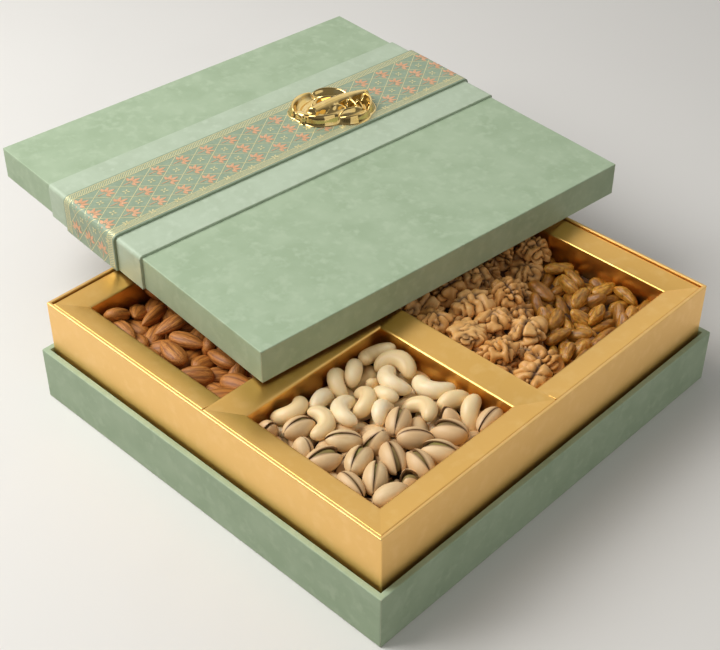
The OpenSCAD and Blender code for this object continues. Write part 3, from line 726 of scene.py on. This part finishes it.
def pistachio(seed):
    """A shell of two halves, gaping at its pointed end."""
    gape = math.radians((4, 13, 8, 19, 2, 10)[seed % 6])
    return joined([pistachio_half(1, gape), pistachio_half(-1, gape)])


def kernel(seed):
    """The nut in a pistachio's shell, a little wrinkled."""
    s, turn = rings(11, 14)
    swell = (1 - s * s) ** 0.5
    rows = np.stack([7.8 * s + 0 * turn, 5.0 * swell * np.cos(turn), 4.7 * swell * np.sin(turn)], -1)
    rows *= 1 + 0.06 * noise(rows, 3.5, seed)[..., None]
    return joined([(pod(rows, (-7.9, 0, 0), (7.9, 0, 0)), 0.3 + 0.3 * noise(rows, 2.5, seed + 3))])


# Each kind's shape, its variants, its roll about its length (mean and spread in degrees) and the balls, as
# (x, y, z, radius), that stand for it while a heap settles
arc_places = np.radians(88) * np.array([-0.86, -0.43, 0, 0.43, 0.86])
SHAPES = {
    "almond": (lambda seed: joined([almond(seed)]), 5, (0, 25), np.array([
        (-7.0, 0, 0, 3.0), (-2.8, 1.9, 0, 4.1), (-2.8, -1.9, 0, 4.1), (2.2, 1.7, 0, 3.9), (2.2, -1.7, 0, 3.9), (7.8, 0, 0, 2.3)])),
    "raisin": (lambda seed: joined([raisin(seed)]), 7, (0, 60), np.array([
        (-5.4, 0, 0, 3.0), (0, 0.4, 0, 3.8), (5.4, 0, 0, 3.0)])),
    "cashew": (lambda seed: joined([cashew(seed)]), 5, (0, 30), np.column_stack([
        8.8 * np.sin(arc_places), 8.8 * np.cos(arc_places) - 6.2, 0 * arc_places, (3.9, 4.6, 4.9, 4.7, 4.1)])),
    "walnut": (lambda seed: joined([walnut(seed)]), 5, (0, 40), np.array([
        (-7, 4, 1, 4.4), (-7, -4, 1, 4.4), (7, 4, 1, 4.4), (7, -4, 1, 4.4), (0, 5.5, 1, 4.8), (0, -5.5, 1, 4.8), (0, 0, 2, 6)])),
    "pistachio": (pistachio, 6, (80, 50), np.array([
        (-4.6, 0, 0, 4.8), (-0.8, 0, 0.5, 6.0), (-0.8, 0, -0.5, 6.0), (3.2, 0, 0, 5.8), (6.8, 0, 0, 4.2)])),
}


# Ornament


# Sections as (share of the half width, share of the height): a leaf's upright edge, rolled rim, hollows and rib, and
# the round stem's
LEAF_SECTION = [(-1, 0.15), (-0.94, 0.58), (-0.82, 0.95), (-0.68, 0.93), (-0.48, 0.4), (-0.24, 0.08), (0, 0.34),
                (0.24, 0.08), (0.48, 0.4), (0.68, 0.93), (0.82, 0.95), (0.94, 0.58), (1, 0.15)]
STEM_SECTION = [(-1, 0.2), (-0.9, 0.6), (-0.6, 0.9), (0, 1), (0.6, 0.9), (0.9, 0.6), (1, 0.2)]
# Each limb's section, place, turn, size as shares of the ornament's, arc and the height of its ends
LIMBS = [
    (LEAF_SECTION, (-0.29, 0.02), 66, (0.5, 0.42, 0.86), 60, 0.5),
    (LEAF_SECTION, (-0.04, -0.24), 22, (0.56, 0.42, 0.92), -80, 0.5),
    (LEAF_SECTION, (-0.02, 0.3), -6, (0.46, 0.34, 0.74), 64, 0.5),
    (LEAF_SECTION, (0.31, 0.12), -64, (0.44, 0.4, 0.82), 70, 0.5),
    (LEAF_SECTION, (0.26, -0.22), 30, (0.38, 0.32, 0.7), -70, 0.5),
    (STEM_SECTION, (0.02, 0.02), 40, (0.98, 0.2, 1), 26, 0.7),
    (STEM_SECTION, (-0.3, -0.3), -30, (0.28, 0.16, 0.6), -120, 0.5),
]


def eased(points, steps):
    """A smooth line through points: cubics whose slope at each point is half the step between its neighbours."""
    points = np.asarray(points, float)
    padded = np.vstack([2 * points[0] - points[1], points, 2 * points[-1] - points[-2]])
    q = np.linspace(0, 1, steps, endpoint=False)[None, :, None]
    a, b, c, d = [padded[k:len(padded) - 3 + k, None] for k in range(4)]
    line = b + 0.5 * ((c - a) * q + (2 * a - 5 * b + 4 * c - d) * q**2 + (3 * b - a - 3 * c + d) * q**3)
    return np.vstack([line.reshape(-1, 2), points[-1:]])


def limb_heights(x, y, section, at, turn, share, arc, foot):
    """Height of one limb over places on the ornament, and nan beside it. A place is turned into its share s of the arc
    and its share of the half width, (1 - s^2)^0.42 (1 - 0.2 s), and the section is read there."""
    length, width, height = np.array(share) * ORNAMENT
    c, w = math.cos(math.radians(turn)), math.sin(math.radians(turn))
    dx, dy = x - at[0] * ORNAMENT[0], y - at[1] * ORNAMENT[1]
    dx, dy = c * dx + w * dy, c * dy - w * dx
    bend = length / math.radians(arc)
    dy = dy + bend * math.cos(math.radians(arc) / 4)
    way = np.sign(bend)
    s = np.arctan2(way * dx, way * dy) / (math.radians(arc) / 2)
    inside = np.abs(s) < 1
    s = np.clip(s, -1, 1)
    swell = np.maximum((1 - s * s) ** 0.42 * (1 - 0.2 * s), 1e-3)
    side = (bend - way * np.hypot(dx, dy)) / (width / 2 * swell)
    line = eased(section, 6)
    rise = np.interp(side, line[:, 0], line[:, 1])
    veins = 0.04 * np.sin(9 * np.pi * side) * np.clip(1.2 - 2 * np.abs(np.abs(side) - 0.4), 0, 1)
    tall = foot + (1 - foot) * np.sqrt(1 - s * s)
    return np.where(inside & (np.abs(side) < 1), ORNAMENT_PLATE_T / 2 + height * tall * (rise + veins), np.nan)


def softened(height, reach):
    """A height map smoothed by a Gaussian curve of the given reach, in cells, along both ways."""
    spread = np.arange(-3 * reach, 3 * reach + 1)
    weight = np.exp(-0.5 * (spread / reach) ** 2)
    weight /= weight.sum()
    for axis in (0, 1):
        height = np.apply_along_axis(np.convolve, axis, height, weight, "same")
    return height


def leaf_knot():
    """The cast ornament as a relief: a height map in which each limb lies over the ones before it, softened as a
    casting's edges are, closed below by the same cells at the height of the band."""
    margin = 2
    x, y = np.meshgrid(*[np.arange(-size / 2 - margin, size / 2 + margin, RELIEF_CELL) for size in ORNAMENT[:2]], indexing="ij")
    core = (ORNAMENT[0] - ORNAMENT[1]) / 2 * 0.9
    from_core = np.hypot(np.maximum(np.abs(x) - core, 0), y)
    height = np.where(from_core < ORNAMENT[1] * 0.43, ORNAMENT_PLATE_T, 0.0)
    for row in LIMBS:
        over = limb_heights(x, y, *row)
        height = np.where(np.isnan(over), height, over)
    height = np.maximum(softened(height, 2) - 0.03, 0)
    top = np.stack([x, y, height], -1).reshape(-1, 3)
    quads = grid(*x.shape)[:, ::-1]
    quads = quads[height.ravel()[quads].max(1) > 0]
    points, faces = np.vstack([top, top * (1, 1, 0)]), np.vstack([quads, quads[:, ::-1] + len(top)])
    used = np.unique(faces)
    fresh = np.zeros(len(points), int)
    fresh[used] = np.arange(len(used))
    c, w = math.cos(math.radians(ORNAMENT_TURN)), math.sin(math.radians(ORNAMENT_TURN))
    placed = points[used] @ np.array([[c, w, 0], [-w, c, 0], [0, 0, 1]])
    placed += (PRINT_BAND_MIDDLE, ORNAMENT_Y, lid_h + plain_t + print_t)
    piece("leaf_knot", on_lid(placed), fresh[faces], polished_brass, "lid", ["ornament"], smooth=70)


leaf_knot()


# Heaps of nuts


def settle(kinds, middles, turns, low, high, rounds):
    """Lets rigid nuts come to rest in a tray, each as a few balls. Every round the balls sink a little, those of
    different nuts that overlap push each other apart, the tray holds them in, and each nut takes the place and turn
    that fit its balls best, which is the rotation part of the sum of moved times resting offsets."""
    shapes = [SHAPES[kind][3] for kind in kinds]
    counts = np.array([len(balls) for balls in shapes])
    rest = np.vstack([balls[:, :3] - balls[:, :3].mean(0) for balls in shapes])
    radius = np.concatenate([balls[:, 3] for balls in shapes])
    owner = np.repeat(np.arange(len(kinds)), counts)
    starts = np.cumsum(counts) - counts
    inner_low, inner_high = low + radius[:, None], high - radius[:, None]
    for k in range(rounds):
        place = middles[owner] + np.einsum("nij,nj->ni", turns[owner], rest)
        place[:, 2] -= 0.45 * (1 - k / rounds)
        if k % 6 == 0:
            apart = np.linalg.norm(place[:, None] - place[None], axis=2)
            near = (apart < radius[:, None] + radius + 2.5) & (owner[:, None] < owner)
            one, two = np.nonzero(near)
            reach = radius[one] + radius[two]
        gap = place[one] - place[two]
        distance = np.linalg.norm(gap, axis=1) + 1e-6
        push = gap * (np.maximum(reach - distance, 0) / distance * 0.33)[:, None]
        for axis in range(3):
            place[:, axis] += np.bincount(one, push[:, axis], len(place)) - np.bincount(two, push[:, axis], len(place))
        place = np.clip(place, inner_low, np.maximum(inner_high, inner_low))
        middles = np.add.reduceat(place, starts) / counts[:, None]
        lean = np.add.reduceat((place - middles[owner])[:, :, None] * rest[:, None], starts) + 3 * turns
        u, _, v = np.linalg.svd(lean)
        u[:, :, 2] *= np.linalg.det(u @ v)[:, None]
        turns = u @ v
    return middles, turns


def scattered(rng, kind, low, high, pitch, layers, inside, tilt):
    """Nuts of one kind on a jittered lattice, in layers above the tray's floor, where inside(x, y) holds. Each has a
    random heading, a tilt of about the given angle and its kind's roll."""
    nx, ny = [max(1, round((high[a] - low[a]) / pitch)) for a in (0, 1)]
    i, j, k = [a.ravel() for a in np.meshgrid(np.arange(nx), np.arange(ny), np.arange(layers), indexing="ij")]
    places = np.column_stack([i + 0.5, j + 0.5, k + 0.5]) + rng.uniform(-0.3, 0.3, (len(i), 3))
    step = np.array([(high[0] - low[0]) / nx, (high[1] - low[1]) / ny, 9.0])
    places = places * step + [low[0], low[1], low[2] + 2]
    places = places[inside(places[:, 0], places[:, 1])]
    count = len(places)
    yaw = rng.uniform(0, 2 * math.pi, count)
    lean = rng.normal(0, math.radians(tilt), count)
    middle, spread = np.radians(SHAPES[kind][2])
    roll = rng.normal(middle, spread, count)
    turns = [Matrix.Rotation(a, 3, "Z") @ Matrix.Rotation(b, 3, "Y") @ Matrix.Rotation(c, 3, "X")
             for a, b, c in zip(yaw, lean, roll)]
    return [kind] * count, places, np.array(turns, float).reshape(-1, 3, 3)


def heap(body, low, high, groups, names, seed):
    """Settles groups of nuts in a well and makes one piece of each kind."""
    rng = np.random.default_rng(seed)
    drops = [scattered(rng, kind, low, high, *rest) for kind, *rest in groups]
    kinds = [kind for drop in drops for kind in drop[0]]
    places, turns = np.vstack([d[1] for d in drops]), np.vstack([d[2] for d in drops])
    places, turns = settle(kinds, places, turns, low, high, 240)
    tones = rng.uniform(0, 1, len(kinds))
    sizes = rng.uniform(0.94, 1.05, len(kinds))
    for kind, (name, material, node, slot) in names.items():
        source = "pistachio" if kind == "kernel" else kind
        make, variants, _, balls = SHAPES[source]
        forms = [(kernel if kind == "kernel" else make)(seed) for seed in range(variants)]
        points, faces, own, tone, painted_shade_and_marks, count = [], [], [], [], [], 0
        for n in [n for n, k in enumerate(kinds) if k == source]:
            place, quads, fans, depth = forms[n % variants]
            points.append(((place - balls[:, :3].mean(0)) * sizes[n]) @ turns[n].T + places[n])
            faces += (quads + count).tolist() + (fans + count).tolist()
            own.append(place + 40 * n)
            tone.append(np.full(len(place), tones[n]))
            painted_shade_and_marks.append(depth)
            count += len(place)
        marks = {"own_place": np.vstack(own), "tone": np.concatenate(tone), "painted_shade_and_marks": np.concatenate(painted_shade_and_marks)}
        piece(name, np.vstack(points), faces, material, body, node, smooth=60, merge=False, marks=marks)


def tray(node):
    """Space for nuts in a well: inside its window, from a little down in the bed of the lower nuts to just under the
    window's edge."""
    low, high = corners(node)
    near, right, far, left = [w or CARD_T for w in RIMS[node]]
    return np.array([low[0] + left, low[1] + near, bed_top - 4]), np.array([high[0] - right, high[1] - far, rim_low - 1.5])


def everywhere(x, y):
    return x == x


front_low, front_high = tray("well_front")
right_low, right_high = tray("well_right")


def toward_back_left(x, y):
    """Cashews fill the front well's corner towards the box's back left, beyond its diagonal."""
    across = (x - front_low[0]) / (front_high[0] - front_low[0])
    along = (y - front_low[1]) / (front_high[1] - front_low[1])
    return along - across > -0.02


def toward_far_right(x, y):
    """Raisins fill the right well's corner towards the box's far right, beyond its other diagonal."""
    across = (x - right_low[0]) / (right_high[0] - right_low[0])
    along = (y - right_low[1]) / (right_high[1] - right_low[1])
    return across + along > 1.02 + 0.25 * np.abs(across - along)


heap("front_well", front_low, front_high, [
    ("pistachio", 15, 2, lambda x, y: ~toward_back_left(x, y), 18), ("cashew", 17.5, 2, toward_back_left, 20),
], {
    "pistachio": ("pistachio_shells", pistachio_shell, ["pistachios"], "pistachio_shell"),
    "kernel": ("pistachio_kernels", pistachio_kernel, [], "pistachio_shell"),
    "cashew": ("cashew_nuts", cashew_kernel, ["cashews"], "cashew_kernel"),
}, 3)
heap("left_well", *tray("well_left"), [("almond", 15.5, 2, everywhere, 20)], {
    "almond": ("almond_nuts", almond_skin, ["almonds"], "almond_skin"),
}, 4)
heap("right_well", right_low, right_high, [
    ("walnut", 22, 2, lambda x, y: ~toward_far_right(x, y), 20), ("raisin", 12, 2, toward_far_right, 14),
], {
    "walnut": ("walnut_halves", walnut_skin, ["walnuts"], "walnut_kernel"),
    "raisin": ("golden_raisins", raisin_skin, ["raisins"], "golden_raisin"),
}, 5)
heap("back_well", *tray("well_back"), [("cashew", 17.5, 2, everywhere, 20)], {
    "cashew": ("back_cashew_nuts", cashew_kernel, ["cashews_back"], "cashew_kernel"),
}, 6)


# Stage


def look_from(azimuth, elevation):
    """Unit vector from the target to a viewer."""
    a, e = math.radians(azimuth), math.radians(elevation)
    return Vector((math.sin(a) * math.cos(e), -math.cos(a) * math.cos(e), math.sin(e)))


def camera():
    """The photograph's camera."""
    data = bpy.data.cameras.new("photo_camera")
    data.sensor_width = SENSOR_WIDTH
    data.lens = FOCAL_PIXELS * SENSOR_WIDTH / PHOTO_WIDTH
    made = bpy.data.objects.new("photo_camera", data)
    back = look_from(CAMERA_AZIMUTH, CAMERA_ELEVATION)
    made.location = (Vector(CAMERA_TARGET) + back * CAMERA_DISTANCE) * MM
    made.rotation_euler = (-back).to_track_quat("-Z", "Y").to_euler()
    bpy.context.scene.collection.objects.link(made)
    bpy.context.scene.camera = made


def lamp(name, azimuth, elevation, distance, size, power, colour="#FFFFFF"):
    """A soft square lamp that faces the box. Distance and size are metres."""
    data = bpy.data.lights.new(name, "AREA")
    data.size = size
    data.energy = power
    data.color = linear(colour)[:3]
    made = bpy.data.objects.new(name, data)
    back = look_from(azimuth, elevation)
    made.location = back * distance
    made.rotation_euler = (-back).to_track_quat("-Z", "Y").to_euler()
    bpy.context.scene.collection.objects.link(made)


def floor():
    """A pale seamless floor, wide enough for every view. It throws less light up than its colour would, and for glossy
    rays it also glows faintly warm white, a painted glow that keeps it pale in the metals' reflections in the box's
    shadow."""
    material, tree, out = new_material("pale_floor")
    where = add(tree, "ShaderNodeTexCoord").outputs["Object"]
    pale, _ = mottled(tree, where, ("#E6E3DD", "#E9E6E0", "#E7E4DE"), (400, 90), 1.0)
    rays = add(tree, "ShaderNodeLightPath").outputs
    seen = add(tree, "ShaderNodeMath", {0: rays["Is Camera Ray"], 1: rays["Is Glossy Ray"]}, operation="MAXIMUM")
    colour = add(tree, "ShaderNodeMix", {0: seen.outputs[0], 6: linear("#96928B"), 7: pale}, data_type="RGBA").outputs[2]
    # Painted glow: the floor emits warm white for glossy rays only, to lighten the metals' reflections of it where the
    # box shades it.
    glow = add(tree, "ShaderNodeMath", {0: rays["Is Glossy Ray"], 1: 0.22}, operation="MULTIPLY")
    shader = add(tree, "ShaderNodeBsdfPrincipled", {"Base Color": colour, "Roughness": 0.85, "Emission Color": linear("#FFF4E4"),
                                                    "Emission Strength": glow.outputs[0]})
    tree.links.new(shader.outputs[0], out.inputs[0])
    mesh = bpy.data.meshes.new("floor")
    half = 6.0
    mesh.from_pydata([(-half, -half, 0), (half, -half, 0), (half, half, 0), (-half, half, 0)], [], [(0, 1, 2, 3)])
    mesh.materials.append(material)
    made = bpy.data.objects.new("floor", mesh)
    bpy.context.scene.collection.objects.link(made)


def sky():
    """A dim even room for the shading. What the metals see of it is bright from 15 to 60 degrees up, as lit walls are,
    and dark near the floor, overhead and in front, where the box isn't lit from. The camera sees a pale backdrop."""
    world = bpy.data.worlds.new("studio")
    world.use_nodes = True
    bpy.context.scene.world = world
    tree = world.node_tree
    tree.nodes.clear()
    rays = add(tree, "ShaderNodeLightPath").outputs
    way = add(tree, "ShaderNodeTexCoord").outputs["Generated"]
    up = add(tree, "ShaderNodeSeparateXYZ", {0: way}).outputs[2]
    lower = add(tree, "ShaderNodeMapRange", {"Value": up, "From Min": 0.02, "From Max": 0.3, "To Min": 0.25, "To Max": 0.95})
    upper = add(tree, "ShaderNodeMapRange", {"Value": up, "From Min": 0.8, "From Max": 0.97, "To Min": 1.0, "To Max": 0.15})
    front = add(tree, "ShaderNodeVectorMath", {0: way, 1: (0.69, -0.72, 0)}, operation="DOT_PRODUCT").outputs["Value"]
    away = add(tree, "ShaderNodeMapRange", {"Value": front, "From Min": -0.15, "From Max": 0.4, "To Min": 1.0, "To Max": 0.2})
    walls = add(tree, "ShaderNodeMath", {0: lower.outputs[0], 1: upper.outputs[0]}, operation="MULTIPLY")
    walls = add(tree, "ShaderNodeMath", {0: walls.outputs[0], 1: away.outputs[0]}, operation="MULTIPLY")
    glossy = add(tree, "ShaderNodeMix", {0: rays["Is Glossy Ray"], 2: 0.28, 3: walls.outputs[0]}, data_type="FLOAT")
    pale = add(tree, "ShaderNodeMath", {0: rays["Is Camera Ray"], 1: rays["Is Transmission Ray"]}, operation="MAXIMUM")
    strength = add(tree, "ShaderNodeMix", {0: pale.outputs[0], 2: glossy.outputs[0], 3: 0.85}, data_type="FLOAT")
    glow = add(tree, "ShaderNodeBackground", {"Color": linear("#FFFFFF"), "Strength": strength.outputs[0]})
    tree.links.new(glow.outputs[0], add(tree, "ShaderNodeOutputWorld").inputs[0])


camera()
floor()
sky()
lamp("key", -50, 49.5, 1.3, 0.9, 16.2)
lamp("fill", 80, 15, 2.0, 1.5, 4.5)
bpy.context.scene.view_settings.view_transform = "Standard"

# The beds of lower nuts get the dark painted-shade material.
for node, material in {
    "base_board": greyboard, "base_corner_stays": stay_tape, "base_bottom_paper": sage_paper,
    "base_lining": lining_paper, "collar_board": greyboard, "lid_board": greyboard,
    "lid_corner_stays": stay_tape, "lid_lining": lining_paper, "bedded_nuts_front": bed_in_painted_shade,
    "bedded_nuts_left": bed_in_painted_shade, "bedded_nuts_right": bed_in_painted_shade, "bedded_nuts_back": bed_in_painted_shade,
}.items():
    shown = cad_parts[node]
    shown.data.materials.clear()
    shown.data.materials.append(material)
